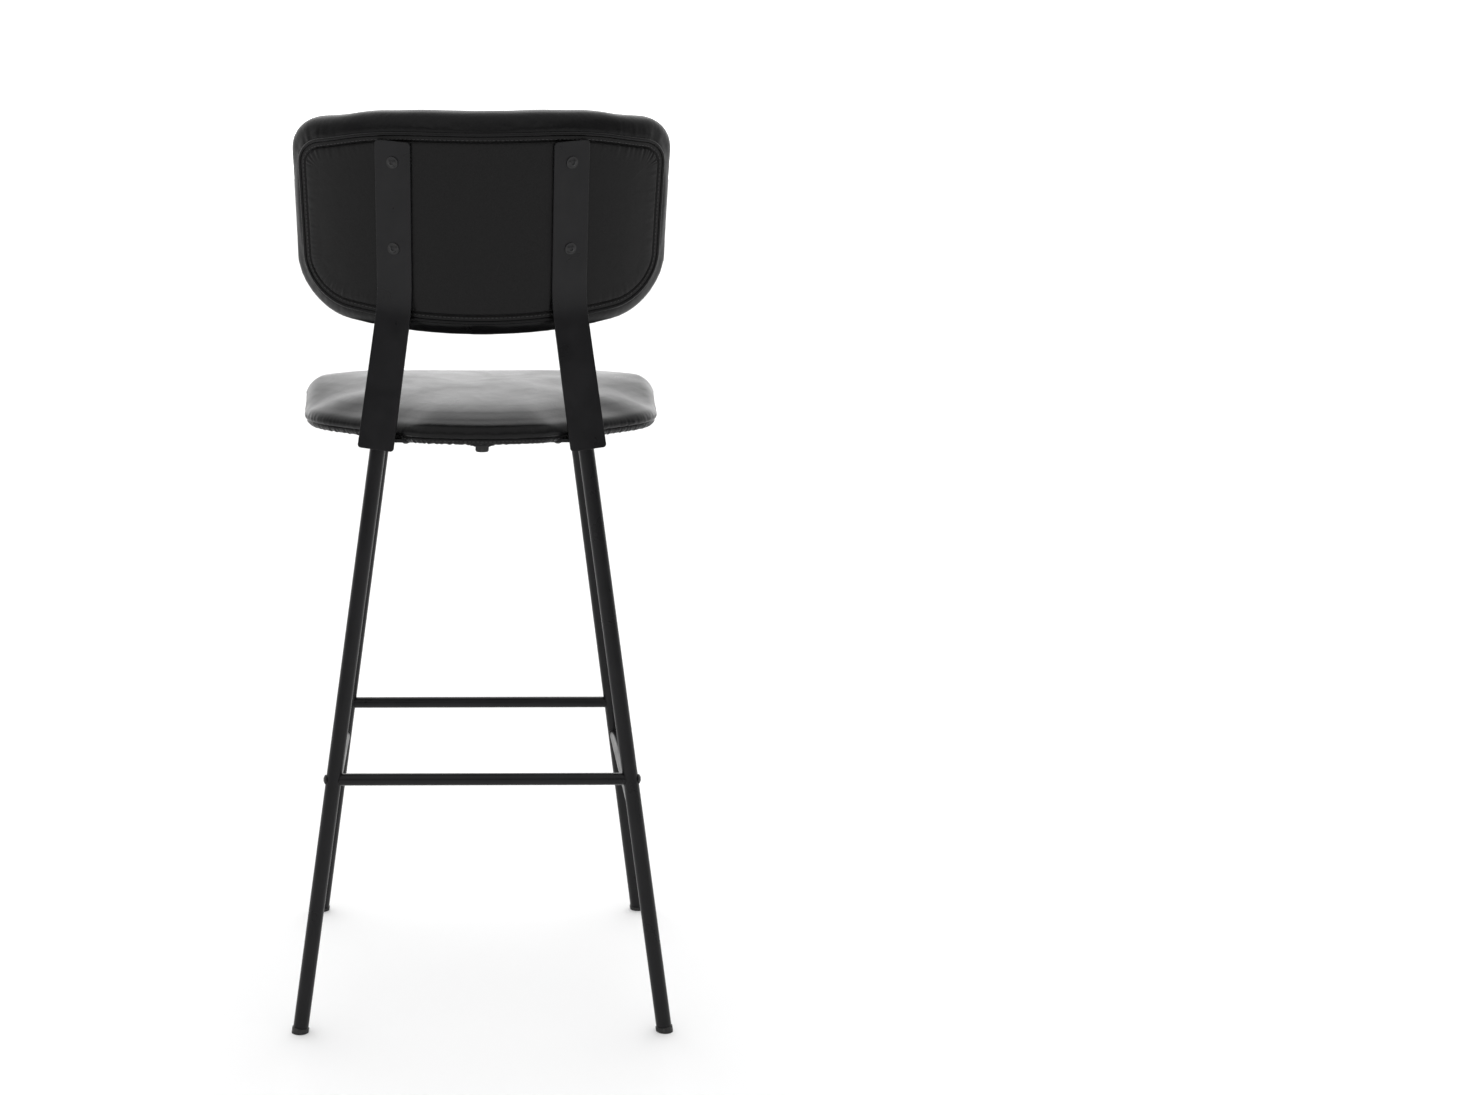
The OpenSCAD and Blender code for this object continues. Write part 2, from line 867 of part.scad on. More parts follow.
color(STEEL) leg(LEFT, FRONT);  // left_front_leg
color(STEEL) leg(RIGHT, FRONT);  // right_front_leg
color(STEEL) leg(LEFT, REAR);  // left_rear_leg
color(STEEL) leg(RIGHT, REAR);  // right_rear_leg
color(PLASTIC) foot(LEFT, FRONT);  // left_front_foot
color(PLASTIC) foot(RIGHT, FRONT);  // right_front_foot
color(PLASTIC) foot(LEFT, REAR);  // left_rear_foot
color(PLASTIC) foot(RIGHT, REAR);  // right_rear_foot
color(STEEL) rail(LEFT, FRONT, RIGHT, FRONT, rail_z[0]);  // footrest_rail
color(STEEL) rail(LEFT, REAR, RIGHT, REAR, rail_z[0]);  // rear_rail
color(STEEL) rail(LEFT, FRONT, LEFT, REAR, rail_z[1]);  // left_rail
color(STEEL) rail(RIGHT, FRONT, RIGHT, REAR, rail_z[1]);  // right_rail
color(ZINC) for (s = [LEFT, RIGHT], e = [FRONT, REAR]) rail_thread_plug(s, e);  // rail_thread_plugs
color(STEEL) for (s = [LEFT, RIGHT], e = [FRONT, REAR]) rail_bolt(s, e);  // rail_bolts
color(STEEL) seat_plate(FRONT);  // front_seat_plate
color(STEEL) seat_plate(REAR);  // rear_seat_plate
color(PLY) seat_board();
color(FOAM) seat_foam();
color(LEATHER) seat_cover();
color(PLASTIC) seat_lining();
color(ZINC) for (e = [FRONT, REAR]) at_seat_screws(e) seat_screw();  // seat_screws
color(ZINC) for (e = [FRONT, REAR]) at_seat_screws(e) tee_nut(seat_screw_d);  // seat_screw_nuts
color(ZINC) for (e = [FRONT, REAR]) at_hex_bolt(e) hex_bolt();  // hex_bolts
color(ZINC) for (e = [FRONT, REAR]) at_hex_bolt(e) hex_washer();  // hex_bolt_washers
color(ZINC) for (e = [FRONT, REAR]) at_hex_bolt(e) tee_nut(hex_bolt_d);  // hex_bolt_nuts
color(STEEL) back_bracket(LEFT);  // left_back_bracket
color(STEEL) back_bracket(RIGHT);  // right_back_bracket
color(PLY) back_board();
color(FOAM) back_foam();
color(LEATHER) back_cover();
color(LEATHER) back_rear_panel();
color(LEATHER) back_piping();
color(ZINC) for (s = [LEFT, RIGHT]) at_back_screws(s) back_screw();  // back_screws
color(ZINC) for (s = [LEFT, RIGHT]) at_back_screws(s) back_screw_nut();  // back_screw_nuts
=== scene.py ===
"""Looks of the bar stool: soft covers, seams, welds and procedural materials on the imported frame."""
import json
import math

import bpy
import numpy as np
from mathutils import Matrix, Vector
from mathutils.bvhtree import BVHTree


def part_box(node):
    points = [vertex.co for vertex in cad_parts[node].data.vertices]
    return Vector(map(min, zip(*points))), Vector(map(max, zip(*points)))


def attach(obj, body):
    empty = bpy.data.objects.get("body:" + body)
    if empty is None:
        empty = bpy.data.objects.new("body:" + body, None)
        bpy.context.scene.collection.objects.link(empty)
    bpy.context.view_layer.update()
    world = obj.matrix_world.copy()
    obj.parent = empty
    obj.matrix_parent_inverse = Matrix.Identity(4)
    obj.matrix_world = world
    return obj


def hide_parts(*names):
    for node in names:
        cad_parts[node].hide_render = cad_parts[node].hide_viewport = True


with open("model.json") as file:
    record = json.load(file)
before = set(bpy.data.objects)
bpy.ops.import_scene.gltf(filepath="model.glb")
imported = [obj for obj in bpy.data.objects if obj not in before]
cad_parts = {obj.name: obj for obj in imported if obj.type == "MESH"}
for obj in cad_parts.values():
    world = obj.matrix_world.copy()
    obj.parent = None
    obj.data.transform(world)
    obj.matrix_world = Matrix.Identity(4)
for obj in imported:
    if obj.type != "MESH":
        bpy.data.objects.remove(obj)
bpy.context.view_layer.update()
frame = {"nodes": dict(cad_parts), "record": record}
NODES = frame["nodes"]

# Every length is in metres. +Z is up, -Y is the front and +X is the sitter's left.
UP = np.array([0.0, 0.0, 1.0])

# Legs and rails
LEG_R = 0.0095
LEG_TOP = np.array([0.1248, 0.1383, 0.725])
LEG_FOOT = np.array([0.2253, 0.215, 0.0])
RAIL_R = 0.0075
SIDE_RAIL_Z = 0.268

# Seat
SEAT_LOW, SEAT_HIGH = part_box("seat_cover")
SEAT_Z = SEAT_LOW.z
SEAT_SEAM_Z = SEAT_Z + 0.0075
SEAT_REAR_RISE = 0.041
SEAT_FRONT_RISE = 0.056
# How far the stuffing lifts the seat above the shape that it is drawn from, which is also the most
# that any point of it moves
SEAT_SWELL = 0.0060
SEAT_STITCH_Z = SEAT_SEAM_Z - 0.0022
# Discs (x, y, radius) whose tightest outline is the seat's seam
SEAT_DISCS = [
    (0.154, -0.137, 0.075), (-0.154, -0.137, 0.075),
    (0.107, -0.023, 0.120), (-0.107, -0.023, 0.120),
    (0.056, 0.128, 0.046), (-0.056, 0.128, 0.046),
    (0.0, 0.034, 0.150),
]
LINING_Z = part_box("seat_lining")[0].z

# Backrest: a padded sheet bent round an upright axis that leans back
BACK_LOW, BACK_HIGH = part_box("back_cover")
LEAN = math.radians(14.5)
BACK_T = 0.040
BACK_R = 0.315
BACK_MID_R = BACK_R - BACK_T / 2
BACK_H = (BACK_HIGH.z - BACK_LOW.z - BACK_T * math.sin(LEAN)) / math.cos(LEAN)
BACK_HALF_W = BACK_HIGH.x
BACK_UP = np.array([0.0, math.sin(LEAN), math.cos(LEAN)])
BACK_OUT = np.array([0.0, math.cos(LEAN), -math.sin(LEAN)])
BACK_FOOT = np.array([0.0, BACK_HIGH.y - BACK_H * math.sin(LEAN), BACK_LOW.z])
PANEL_INSET = 0.022
PANEL_REST_DEPTH = 0.0016
PIPING_R = 0.0021
STRIP_W = 0.0085

# Brackets
BAR_W = 0.044
BAR_T = 0.004
BAR_EDGE_R = 0.0009
BAR_CORNER_R = 0.004
BEND_Z = 0.893
BEND_REACH = 0.024
BAR_LAP = 0.008
BAR_UPPER_L = 0.196
BAR_FOOT_TURN = math.radians(6)


# ------------------------------------------------------------------ mesh helpers

def unit(v):
    """The vector at length 1."""
    return v / np.linalg.norm(v)


def make_piece(name, points, faces, smooth=True):
    """A new mesh object from lists of points and faces."""
    mesh = bpy.data.meshes.new(name)
    mesh.from_pydata([tuple(p) for p in points], [], faces)
    mesh.polygons.foreach_set("use_smooth", [smooth] * len(mesh.polygons))
    mesh.update()
    piece = bpy.data.objects.new(name, mesh)
    bpy.context.scene.collection.objects.link(piece)
    return piece


def loft(rings, closed_tube=False):
    """Points and quads over rings of equal length; the two ends are capped unless the tube closes."""
    count = len(rings[0])
    points = np.concatenate(rings)
    faces = []
    last = len(rings) if closed_tube else len(rings) - 1
    for j in range(last):
        a = j * count
        b = (j + 1) % len(rings) * count
        for i in range(count):
            k = (i + 1) % count
            faces.append((a + i, a + k, b + k, b + i))
    if not closed_tube:
        faces.append(tuple(range(count - 1, -1, -1)))
        faces.append(tuple(len(points) - count + i for i in range(count)))
    return points, faces


def resample(points, count):
    """The closed outline again, with evenly spaced points."""
    loop = np.vstack([points, points[:1]])
    steps = np.linalg.norm(np.diff(loop, axis=0), axis=1)
    where = np.concatenate([[0], np.cumsum(steps)])
    even = np.linspace(0, where[-1], count, endpoint=False)
    return np.stack([np.interp(even, where, loop[:, i]) for i in range(loop.shape[1])], axis=1)


def round_discs(discs, count):
    """The tightest outline round some discs (x, y, radius), anticlockwise and evenly spaced."""
    turn = np.linspace(0, 2 * np.pi, 2880, endpoint=False)
    aim = np.stack([np.cos(turn), np.sin(turn)], axis=1)
    discs = np.array(discs)
    best = (aim @ discs[:, :2].T + discs[:, 2]).argmax(axis=1)
    return resample(discs[best, :2] + aim * discs[best, 2:], count)


def outward(outline):
    """Unit normals that point out of an anticlockwise closed outline."""
    ahead = np.roll(outline, -1, axis=0) - np.roll(outline, 1, axis=0)
    normal = np.stack([ahead[:, 1], -ahead[:, 0]], axis=1)
    return normal / np.linalg.norm(normal, axis=1, keepdims=True)


def inset_ring(outline, inset):
    """The outline moved inwards by the inset."""
    return outline - outward(outline) * inset


def nearest_on(outline, points):
    """For each 2-D point: how far round the outline it lies, in metres, and how far inside it is."""
    spacing = np.linalg.norm(outline[1] - outline[0])
    normals = outward(outline)
    found = np.empty(len(points), dtype=int)
    batch = 4000
    for start in range(0, len(points), batch):
        block = points[start:start + batch]
        gaps = ((block[:, None, :] - outline[None]) ** 2).sum(axis=2)
        found[start:start + batch] = gaps.argmin(axis=1)
    inside = ((outline[found] - points) * normals[found]).sum(axis=1)
    return found * spacing, inside


def ripples(where, length, waves, seed):
    """Uneven waves round a closed seam of the given length, from -1 to 1."""
    rng = np.random.default_rng(seed)
    total = np.zeros_like(where)
    for wave in waves:
        turns = round(length / wave)
        swell = 0.6 + 0.4 * np.sin(2 * np.pi * where / length * rng.integers(3, 9) + rng.uniform(0, 6))
        total += swell * np.sin(2 * np.pi * turns * where / length + rng.uniform(0, 6.28))
    return total / len(waves)


def bell(x, width):
    """A smooth bump that is 1 at 0 and fades over the width."""
    return np.exp(-(x / width) ** 2)


def get_points(mesh):
    """The mesh's points as an array of rows."""
    flat = np.empty(len(mesh.vertices) * 3)
    mesh.vertices.foreach_get("co", flat)
    return flat.reshape(-1, 3)


def get_normals(mesh):
    """The mesh's point normals as an array of rows."""
    flat = np.empty(len(mesh.vertices) * 3)
    mesh.vertices.foreach_get("normal", flat)
    return flat.reshape(-1, 3)


def set_points(mesh, points):
    """Moves the mesh's points to the rows of an array."""
    mesh.vertices.foreach_set("co", points.ravel())
    mesh.update()


def apply_modifier(piece, kind, **settings):
    """Adds a modifier, applies it and leaves the piece's mesh changed."""
    modifier = piece.modifiers.new(kind.lower(), kind)
    for key, value in settings.items():
        setattr(modifier, key, value)
    graph = bpy.context.evaluated_depsgraph_get()
    mesh = bpy.data.meshes.new_from_object(piece.evaluated_get(graph))
    piece.modifiers.clear()
    old = piece.data
    piece.data = mesh
    bpy.data.meshes.remove(old)
    piece.data.polygons.foreach_set("use_smooth", [True] * len(piece.data.polygons))


def evened(mesh, values, rounds):
    """The values at a mesh's points, each averaged with its neighbours' some rounds over."""
    ends = np.empty(len(mesh.edges) * 2, dtype=np.int32)
    mesh.edges.foreach_get("vertices", ends)
    first, second = ends.reshape(-1, 2).T
    count = len(values)
    neighbours = np.bincount(ends, minlength=count)[:, None]
    for _ in range(rounds):
        total = np.column_stack([np.bincount(first, values[second, i], count)
                                 + np.bincount(second, values[first, i], count) for i in range(3)])
        values = 0.5 * values + 0.5 * total / neighbours
    return values


def swell(piece, held, cap, taut, tight=0.0):
    """Blows the closed pad up with Cloth pressure; held points stay and no point moves past the cap.

    taut is how many rounds even the movement out, and tight is how much the cloth shrinks.
    """
    start = get_points(piece.data)
    group = piece.vertex_groups.new(name="held")
    group.add([int(i) for i in np.flatnonzero(held)], 1.0, "REPLACE")
    modifier = piece.modifiers.new("cloth", "CLOTH")
    cloth = modifier.settings
    cloth.quality = 6
    cloth.mass = 0.25
    cloth.tension_stiffness = 12
    cloth.compression_stiffness = 12
    cloth.bending_stiffness = 2.0
    cloth.vertex_group_mass = "held"
    cloth.use_pressure = True
    cloth.uniform_pressure_force = 4.0
    cloth.effector_weights.gravity = 0
    cloth.shrink_min = tight
    scene = bpy.context.scene
    for step in range(1, 21):
        scene.frame_set(step)
    graph = bpy.context.evaluated_depsgraph_get()
    swollen = piece.evaluated_get(graph)
    move = get_points(swollen.to_mesh()) - start
    swollen.to_mesh_clear()
    piece.modifiers.clear()
    piece.vertex_groups.clear()
    scene.frame_set(1)
    size = np.linalg.norm(move, axis=1, keepdims=True)
    move *= cap * np.tanh(size / cap) / np.maximum(size, 1e-9)
    free = evened(piece.data, np.repeat(~held[:, None], 3, axis=1).astype(float), 5)
    set_points(piece.data, start + evened(piece.data, move, taut) * np.maximum(2 * free - 1, 0))


def tube(name, path, radius, sides=12, closed=True, wobble=0.0, seed=1):
    """A tube round a path of points, its radius uneven by the wobble."""
    path = np.asarray(path)
    if closed:
        ahead = np.roll(path, -1, axis=0) - np.roll(path, 1, axis=0)
    else:
        ahead = np.gradient(path, axis=0)
    ahead /= np.linalg.norm(ahead, axis=1, keepdims=True)
    side = np.cross(ahead[0], UP if abs(ahead[0][2]) < 0.9 else BACK_OUT)
    rng = np.random.default_rng(seed)
    turn = np.linspace(0, 2 * np.pi, sides, endpoint=False)
    rings = []
    for point, along in zip(path, ahead):
        side = unit(side - along * (side @ along))
        across = np.cross(along, side)
        r = radius * (1 + wobble * rng.uniform(-1, 1))
        rings.append(point + r * (np.cos(turn)[:, None] * side + np.sin(turn)[:, None] * across))
    return make_piece(name, *loft(rings, closed_tube=closed))


def stitches(name, path, lift, length, gap, radius):
    """Short thread capsules along a closed path, each lifted a little along its own normal."""
    steps = np.linalg.norm(np.roll(path, -1, axis=0) - path, axis=1)
    where = np.concatenate([[0], np.cumsum(steps)])
    loop = np.vstack([path, path[:1]])
    raised = np.vstack([lift, lift[:1]])
    count = int(where[-1] / (length + gap))
    pitch = where[-1] / count
    turn = np.linspace(0, 2 * np.pi, 6, endpoint=False)
    profile = [(-0.5, 0.35, -0.6), (-0.4, 0.9, 0.2), (0.0, 1.0, 0.7), (0.4, 0.9, 0.2), (0.5, 0.35, -0.6)]
    points = []
    faces = []
    for k in range(count):
        rings = []
        ends = [(k + 0.5) * pitch - length / 2, (k + 0.5) * pitch + length / 2]
        a, b = (np.array([np.interp(e, where, loop[:, i]) for i in range(3)]) for e in ends)
        up = unit(np.array([np.interp(ends[0], where, raised[:, i]) for i in range(3)]))
        along = unit(b - a)
        across = np.cross(along, up)
        for offset, size, height in profile:
            centre = (a + b) / 2 + along * offset * length + up * radius * height
            rings.append(centre + radius * size * (np.cos(turn)[:, None] * across
                                                   + np.sin(turn)[:, None] * up))
        made, quads = loft(rings)
        faces += [tuple(i + len(points) for i in quad) for quad in quads]
        points += list(made)
    return make_piece(name, points, faces)


# ------------------------------------------------------------------ materials

def new_material(name):
    """A node material with its Principled shader, and the object coordinates to texture it with."""
    material = bpy.data.materials.new(name)
    material.use_nodes = True
    tree = material.node_tree
    shader = tree.nodes["Principled BSDF"]
    place = tree.nodes.new("ShaderNodeTexCoord").outputs["Object"]
    return material, tree, shader, place


def noise(tree, place, scale, detail=3.0, distortion=0.0, stretch=(1, 1, 1)):
    """A noise texture's value."""
    mapping = tree.nodes.new("ShaderNodeMapping")
    mapping.inputs["Scale"].default_value = stretch
    tree.links.new(place, mapping.inputs["Vector"])
    node = tree.nodes.new("ShaderNodeTexNoise")
    node.inputs["Scale"].default_value = scale
    node.inputs["Detail"].default_value = detail
    node.inputs["Distortion"].default_value = distortion
    tree.links.new(mapping.outputs["Vector"], node.inputs["Vector"])
    return node.outputs["Fac"]


def cells(tree, place, scale, feature="DISTANCE_TO_EDGE"):
    """A cell texture's distance: to the cell's edge, or to its centre with F1."""
    node = tree.nodes.new("ShaderNodeTexVoronoi")
    node.feature = feature
    node.inputs["Scale"].default_value = scale
    tree.links.new(place, node.inputs["Vector"])
    return node.outputs["Distance"]


def remap(tree, value, low, high, to_low, to_high):
    """The value with the range low to high turned into to_low to to_high, and cut off there."""
    node = tree.nodes.new("ShaderNodeMapRange")
    for key, number in zip(("From Min", "From Max", "To Min", "To Max"), (low, high, to_low, to_high)):
        node.inputs[key].default_value = number
    tree.links.new(value, node.inputs["Value"])
    return node.outputs["Result"]


def blend_colours(tree, factor, first, second):
    """A colour between two, by a factor; each one is a socket or a plain colour."""
    node = tree.nodes.new("ShaderNodeMix")
    node.data_type = "RGBA"
    tree.links.new(factor, node.inputs["Factor"])
    for key, colour in zip(("A", "B"), (first, second)):
        socket = next(s for s in node.inputs if s.name == key and s.type == "RGBA")
        if isinstance(colour, tuple):
            socket.default_value = (*colour, 1.0)
        else:
            tree.links.new(colour, socket)
    return next(s for s in node.outputs if s.type == "RGBA")


def bump(tree, height, strength, distance, normal=None):
    """A normal that follows a height, on top of another normal where one is given."""
    node = tree.nodes.new("ShaderNodeBump")
    node.inputs["Strength"].default_value = strength
    node.inputs["Distance"].default_value = distance
    tree.links.new(height, node.inputs["Height"])
    if normal is not None:
        tree.links.new(normal, node.inputs["Normal"])
    return node.outputs["Normal"]


def soft_edges(tree, radius):
    """A normal that rounds sharp edges to the radius."""
    node = tree.nodes.new("ShaderNodeBevel")
    node.samples = 8
    node.inputs["Radius"].default_value = radius
    return node.outputs["Normal"]


def leathercloth(name, dark, light, rough=(0.27, 0.38), crease=0.22):
    """Fine-grained black leathercloth: small rounded grain cells, pores and soft creases, with painted
    shade darkening the valleys between the grain cells.
    """
    material, tree, shader, place = new_material(name)
    cloud = noise(tree, place, 14, detail=4, distortion=0.6)
    grain = remap(tree, cells(tree, place, 620), 0.0, 0.35, 0.0, 1.0)
    fine = cells(tree, place, 1700, feature="F1")
    colour = blend_colours(tree, remap(tree, cloud, 0.35, 0.65, 0.0, 1.0), dark, light)
    # Painted shade: the valleys between the grain cells get a darker colour than the cell tops.
    painted_valley_shade = tuple(c * 0.55 for c in dark)
    tree.links.new(blend_colours(tree, grain, painted_valley_shade, colour), shader.inputs["Base Color"])
    tree.links.new(remap(tree, cloud, 0.3, 0.7, *rough), shader.inputs["Roughness"])
    shader.inputs["Specular IOR Level"].default_value = 0.17
    creases = noise(tree, place, 55, detail=5, distortion=1.4, stretch=(1, 0.55, 1))
    normal = bump(tree, creases, crease, 0.0012)
    normal = bump(tree, fine, 0.12, 0.0001, normal)
    normal = bump(tree, grain, 0.22, 0.00012, normal)
    tree.links.new(normal, shader.inputs["Normal"])
    return material


def powder_coat():
    """Black powder coat: orange peel, faint dust and slightly worn edges."""
    material, tree, shader, place = new_material("powder_coat")
    peel = noise(tree, place, 750, detail=2)
    cloud = noise(tree, place, 22, detail=5, distortion=0.4)
    rounded = soft_edges(tree, 0.0012)
    geometry = tree.nodes.new("ShaderNodeNewGeometry")
    product = tree.nodes.new("ShaderNodeVectorMath")
    product.operation = "DOT_PRODUCT"
    tree.links.new(rounded, product.inputs[0])
    tree.links.new(geometry.outputs["Normal"], product.inputs[1])
    edge = remap(tree, product.outputs["Value"], 0.995, 0.86, 0.0, 1.0)
    rubbed = tree.nodes.new("ShaderNodeMath")
    rubbed.operation = "MULTIPLY"
    tree.links.new(edge, rubbed.inputs[0])
    tree.links.new(remap(tree, noise(tree, place, 160, detail=4), 0.45, 0.62, 0.0, 1.0), rubbed.inputs[1])
    body = blend_colours(tree, remap(tree, cloud, 0.35, 0.65, 0.0, 1.0),
                         (0.0070, 0.0069, 0.0076), (0.0105, 0.0102, 0.0112))
    tree.links.new(blend_colours(tree, rubbed.outputs["Value"], body, (0.045, 0.044, 0.045)),
                   shader.inputs["Base Color"])
    tree.links.new(remap(tree, cloud, 0.3, 0.7, 0.26, 0.36), shader.inputs["Roughness"])
    shader.inputs["Specular IOR Level"].default_value = 0.20
    tree.links.new(bump(tree, peel, 0.18, 0.00008, rounded), shader.inputs["Normal"])
    return material


def moulded_plastic():
    """Matte black foot plastic: fine spark-eroded texture, scuffed near the floor."""
    material, tree, shader, place = new_material("moulded_plastic")
    speckle = noise(tree, place, 2200, detail=2)
    scuff = noise(tree, place, 240, detail=5, distortion=1.0, stretch=(1, 1, 0.3))
    colour = blend_colours(tree, remap(tree, scuff, 0.52, 0.72, 0.0, 1.0),
                           (0.014, 0.014, 0.014), (0.042, 0.041, 0.040))
    tree.links.new(colour, shader.inputs["Base Color"])
    tree.links.new(remap(tree, scuff, 0.3, 0.7, 0.55, 0.72), shader.inputs["Roughness"])
    normal = bump(tree, speckle, 0.3, 0.00008, soft_edges(tree, 0.0008))
    tree.links.new(normal, shader.inputs["Normal"])
    return material


def metal(name, dark, light, rough, metallic=1.0):
    """Small steel hardware: uneven plating, fine turning marks and softened edges."""
    material, tree, shader, place = new_material(name)
    cloud = noise(tree, place, 130, detail=5)
    marks = noise(tree, place, 900, detail=3, stretch=(1, 1, 6))
    tree.links.new(blend_colours(tree, remap(tree, cloud, 0.35, 0.65, 0.0, 1.0), dark, light),
                   shader.inputs["Base Color"])
    tree.links.new(remap(tree, cloud, 0.3, 0.7, *rough), shader.inputs["Roughness"])
    shader.inputs["Metallic"].default_value = metallic
    tree.links.new(bump(tree, marks, 0.15, 0.00005, soft_edges(tree, 0.0004)),
                   shader.inputs["Normal"])
    return material


def plywood():
    """Birch plywood: long grain on the faces and thin darker plies on the edges."""
    material, tree, shader, place = new_material("birch_plywood")
    grain = noise(tree, place, 60, detail=6, distortion=1.5, stretch=(0.12, 1, 1))
    plies = tree.nodes.new("ShaderNodeTexWave")
    plies.bands_direction = "Z"
    plies.inputs["Scale"].default_value = 110
    tree.links.new(place, plies.inputs["Vector"])
    face = blend_colours(tree, remap(tree, grain, 0.35, 0.65, 0.0, 1.0),
                         (0.42, 0.29, 0.17), (0.62, 0.47, 0.31))
    factor = remap(tree, plies.outputs["Fac"], 0.3, 0.7, 0.0, 0.35)
    tree.links.new(blend_colours(tree, factor, face, (0.26, 0.16, 0.08)), shader.inputs["Base Color"])
    shader.inputs["Roughness"].default_value = 0.62
    tree.links.new(bump(tree, grain, 0.2, 0.0003), shader.inputs["Normal"])
    return material


def nonwoven():
    """Black non-woven lining: matted fibres and a grid of small bonding points."""
    material, tree, shader, place = new_material("nonwoven_lining")
    fibres = noise(tree, place, 850, detail=6, distortion=2.5)
    dots = remap(tree, cells(tree, place, 420, feature="F1"), 0.10, 0.30, 0.0, 1.0)
    colour = blend_colours(tree, remap(tree, fibres, 0.3, 0.7, 0.0, 1.0),
                           (0.010, 0.010, 0.010), (0.036, 0.036, 0.037))
    tree.links.new(colour, shader.inputs["Base Color"])
    shader.inputs["Roughness"].default_value = 0.92
    shader.inputs["Sheen Weight"].default_value = 0.15
    normal = bump(tree, fibres, 0.5, 0.0002)
    tree.links.new(bump(tree, dots, 0.3, 0.0002, normal), shader.inputs["Normal"])
    return material


def thread():
    """Black bonded thread with a fine twist."""
    material, tree, shader, place = new_material("thread")
    twist = noise(tree, place, 2600, detail=2, stretch=(1, 1, 2))
    tree.links.new(blend_colours(tree, twist, (0.010, 0.010, 0.011), (0.050, 0.049, 0.050)),
                   shader.inputs["Base Color"])
    shader.inputs["Roughness"].default_value = 0.55
    tree.links.new(bump(tree, twist, 0.4, 0.0001), shader.inputs["Normal"])
    return material


LEATHER = leathercloth("leathercloth", (0.0055, 0.0054, 0.0058), (0.0085, 0.0082, 0.0086))
PANEL_LEATHER = leathercloth("panel_leathercloth", (0.0058, 0.0056, 0.0058), (0.0088, 0.0084, 0.0086),
                             rough=(0.34, 0.46), crease=0.35)
COAT = powder_coat()
PLASTIC = moulded_plastic()
BLACK_OXIDE = metal("black_oxide", (0.012, 0.012, 0.013), (0.022, 0.021, 0.021), (0.32, 0.46),
                    metallic=0.35)
ZINC = metal("zinc_plate", (0.42, 0.43, 0.46), (0.60, 0.61, 0.63), (0.24, 0.40))
STAPLE_STEEL = metal("staple_steel", (0.45, 0.45, 0.46), (0.62, 0.62, 0.62), (0.25, 0.38))
PLYWOOD = plywood()
LINING = nonwoven()
THREAD = thread()

NODE_MATERIALS = {
    "frame_black": COAT,
    "foot_plastic": PLASTIC,
    "screw_black": BLACK_OXIDE,
    "screw_zinc": ZINC,
    "plywood": PLYWOOD,
    "foam": LEATHER,
    "lining": LINING,
    "black_leather": LEATHER,
}


def dress(piece, material, slot, *nodes):
    """Gives a new piece its material, rides it on the body and hides what it stands for; slot is not
    used.
    """
    piece.data.materials.clear()
    piece.data.materials.append(material)
    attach(piece, "root")
    if nodes:
        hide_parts(*nodes)
    return piece


def dress_nodes():
    """The carried-over CAD nodes take the material of their slot in the record."""
    for part in frame["record"]["subparts"]:
        for holder in NODES[part["node"]].material_slots:
            holder.material = NODE_MATERIALS[part["material_slot"]]


# ------------------------------------------------------------------ seat

def seat_crown(y):
    """Height of the seat's crown: level near the front, falling more and more steeply to the rear."""
    share = (y - SEAT_LOW.y) / (SEAT_HIGH.y - SEAT_LOW.y)
    return SEAT_Z + SEAT_FRONT_RISE - (SEAT_FRONT_RISE - SEAT_REAR_RISE) * share ** 2


def seat_pad():
    """The seat's stuffed body: full round sides, held along the seam near its bottom edge."""
    outline = round_discs(SEAT_DISCS, 300)
    normals = outward(outline)
    rings = []
    # The pad's hidden underside: how far each ring is inside the seam and above the seat's lowest point
    low_side = [(0.0120, 0.0052), (0.0078, 0.0046), (0.0053, 0.0060), (0.0038, 0.0085), (0.0022, 0.0110)]
    for inset, rise in low_side:
        ring = outline - normals * inset
        rings.append(np.column_stack([ring, np.full(len(ring), SEAT_Z + rise)]))
    # The sides are tall and bulge over the seam in front, and are low and tightly rounded at the rear
    rear = np.clip((outline[:, 1] + 0.16) / 0.16, 0, 1)
    rear = rear * rear * (3 - 2 * rear)
    side_top = SEAT_Z + 0.025 + (0.013 - 0.025) * rear
    bulge = 0.0055 + (0.0020 - 0.0055) * rear
    roll_r = 0.028 + (0.012 - 0.028) * rear
    roll_h = 0.022 + (0.011 - 0.022) * rear
    for turn in np.linspace(0, math.radians(74), 10):
        ring = outline - normals * (roll_r * (1 - math.cos(turn)) - bulge)[:, None]
        rings.append(np.column_stack([ring, side_top + roll_h * math.sin(turn)]))
    # From there the top rises in one shallow dome
    edge = rings[-1]
    drop = seat_crown(edge[:, 1]) - SEAT_SWELL - edge[:, 2]
    for share in (0.97, 0.93, 0.88, 0.82, 0.75, 0.66, 0.56, 0.44, 0.3, 0.06):
        ring = edge[:, :2] * share
        rings.append(np.column_stack([ring, seat_crown(ring[:, 1]) - SEAT_SWELL - drop * share ** 3]))
    pad = make_piece("seat_pad", *loft(rings))
    apply_modifier(pad, "REMESH", mode="VOXEL", voxel_size=0.0045)
    points = get_points(pad.data)
    swell(pad, points[:, 2] < SEAT_SEAM_Z + 0.002, cap=SEAT_SWELL, taut=60)
    apply_modifier(pad, "SMOOTH", factor=0.5, iterations=3)
    apply_modifier(pad, "SUBSURF", levels=1)
    gather_seat(pad, outline)
    return pad


